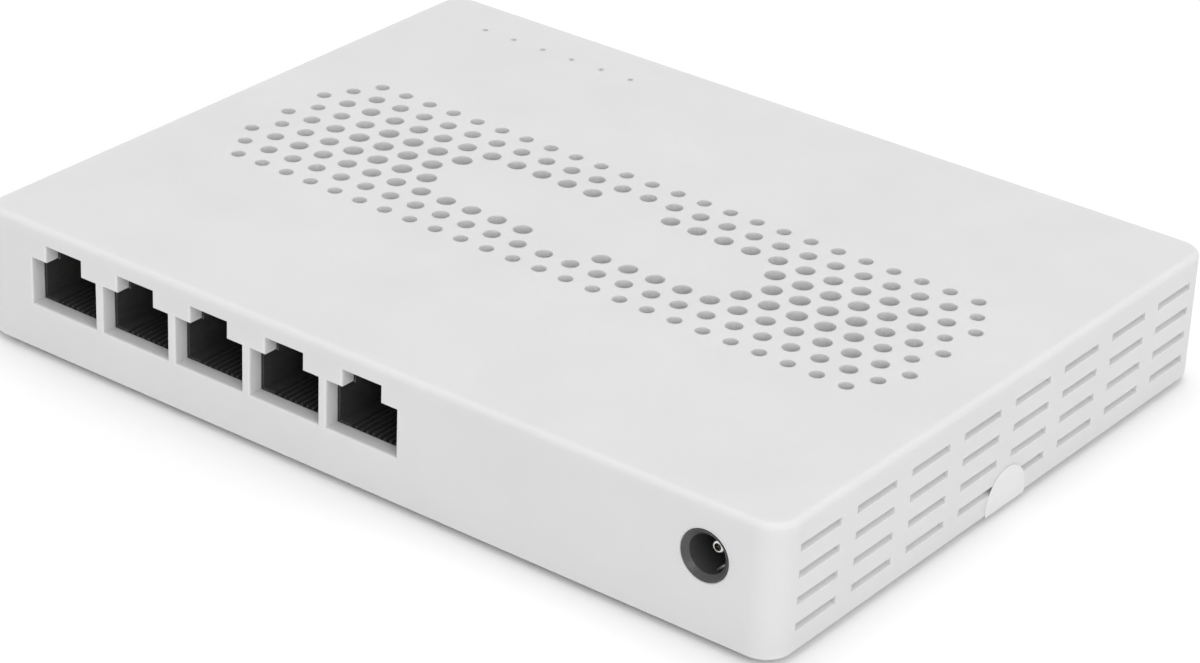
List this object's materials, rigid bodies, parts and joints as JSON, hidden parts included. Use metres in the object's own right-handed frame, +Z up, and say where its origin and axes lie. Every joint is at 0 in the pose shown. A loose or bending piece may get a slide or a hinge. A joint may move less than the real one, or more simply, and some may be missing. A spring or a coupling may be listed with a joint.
{
  "type": "desktop network switch",
  "caption": "Small white desktop network switch with a row of keyed modular sockets and a round power socket in front, round vents on top and slots in both sides.",
  "frame": {"origin": "on the ground, under the middle of the case", "axes": "+X to the right along the long side, +Y from the port side to the back, +Z up"},
  "size_m": [0.1411, 0.108, 0.021],
  "materials": {
    "white_plastic": "fine spark texture, matt",
    "black_plastic": "satin",
    "dark_grey_plastic": "satin",
    "green_board": "solder mask",
    "gold_plate": "thin gold over nickel",
    "nickel_plate": "nickel plate",
    "tin_plate": "matt tin",
    "spring_metal": "matt nickel",
    "screw_steel": "zinc plate",
    "chip_epoxy": "moulded epoxy",
    "ferrite": "ground ferrite",
    "ceramic_parts": "fired ceramic",
    "capacitor_sleeve": "shrink sleeve",
    "diode_resin": "cast resin",
    "clear_plastic": "frosted clear",
    "foot_rubber": "matt",
    "label_film": "matt film"
  },
  "bodies": {
    "case": {"top_cover": "white_plastic", "base_cover": "white_plastic", "case_screws": "screw_steel", "circuit_board": "green_board", "board_screws": "screw_steel", "indicator_light_pipe": "clear_plastic", "ganged_port_housing": "black_plastic", "power_socket_housing": "dark_grey_plastic", "power_socket_pin": "nickel_plate", "power_socket_tags": "tin_plate", "switch_chip": "chip_epoxy", "switch_chip_leads": "tin_plate", "transformer_leads": "tin_plate", "power_inductor": "ferrite", "regulator_chip": "chip_epoxy", "memory_chip": "chip_epoxy", "clock_crystal": "nickel_plate", "small_ceramic_parts": "ceramic_parts", "rating_label": "label_film", "seal_label": "label_film", "input_capacitor": "capacitor_sleeve", "output_capacitor": "capacitor_sleeve", "rubber_foot_front_left": "foot_rubber", "rubber_foot_front_right": "foot_rubber", "rubber_foot_rear_left": "foot_rubber", "rubber_foot_rear_right": "foot_rubber", "port_1_terminal_wires": "gold_plate", "port_1_contact_carrier": "black_plastic", "port_1_transformer": "chip_epoxy", "port_2_terminal_wires": "gold_plate", "port_2_contact_carrier": "black_plastic", "port_2_transformer": "chip_epoxy", "port_3_terminal_wires": "gold_plate", "port_3_contact_carrier": "black_plastic", "port_3_transformer": "chip_epoxy", "port_4_terminal_wires": "gold_plate", "port_4_contact_carrier": "black_plastic", "port_4_transformer": "chip_epoxy", "port_5_terminal_wires": "gold_plate", "port_5_contact_carrier": "black_plastic", "port_5_transformer": "chip_epoxy", "indicator_diode_1": "diode_resin", "indicator_diode_2": "diode_resin", "indicator_diode_3": "diode_resin", "indicator_diode_4": "diode_resin", "indicator_diode_5": "diode_resin", "indicator_diode_6": "diode_resin"},
    "port_1_springs": {"port_1_spring_contacts": "gold_plate"},
    "port_2_springs": {"port_2_spring_contacts": "gold_plate"},
    "port_3_springs": {"port_3_spring_contacts": "gold_plate"},
    "port_4_springs": {"port_4_spring_contacts": "gold_plate"},
    "port_5_springs": {"port_5_spring_contacts": "gold_plate"},
    "power_leaf_spring": {"power_socket_leaf": "spring_metal"}
  },
  "joints": [
    {"name": "port_1_contact_flex", "type": "hinge", "parent": "case", "child": "port_1_springs", "pos_m": [-0.0542, -0.05035, 0.0075], "axis": [1, 0, 0], "range_deg": [-8, 0], "stiffness_Nm_per_rad": 0.5},
    {"name": "port_2_contact_flex", "type": "hinge", "parent": "case", "child": "port_2_springs", "pos_m": [-0.04023, -0.05035, 0.0075], "axis": [1, 0, 0], "range_deg": [-8, 0], "stiffness_Nm_per_rad": 0.5},
    {"name": "port_3_contact_flex", "type": "hinge", "parent": "case", "child": "port_3_springs", "pos_m": [-0.02626, -0.05035, 0.0075], "axis": [1, 0, 0], "range_deg": [-8, 0], "stiffness_Nm_per_rad": 0.5},
    {"name": "port_4_contact_flex", "type": "hinge", "parent": "case", "child": "port_4_springs", "pos_m": [-0.01229, -0.05035, 0.0075], "axis": [1, 0, 0], "range_deg": [-8, 0], "stiffness_Nm_per_rad": 0.5},
    {"name": "port_5_contact_flex", "type": "hinge", "parent": "case", "child": "port_5_springs", "pos_m": [0.00168, -0.05035, 0.0075], "axis": [1, 0, 0], "range_deg": [-8, 0], "stiffness_Nm_per_rad": 0.5},
    {"name": "power_leaf_flex", "type": "hinge", "parent": "case", "child": "power_leaf_spring", "pos_m": [0.06142, -0.0458, 0.01068], "axis": [-0.7071, 0, -0.7071], "range_deg": [0, 7.5], "stiffness_Nm_per_rad": 0.1}
  ]
}
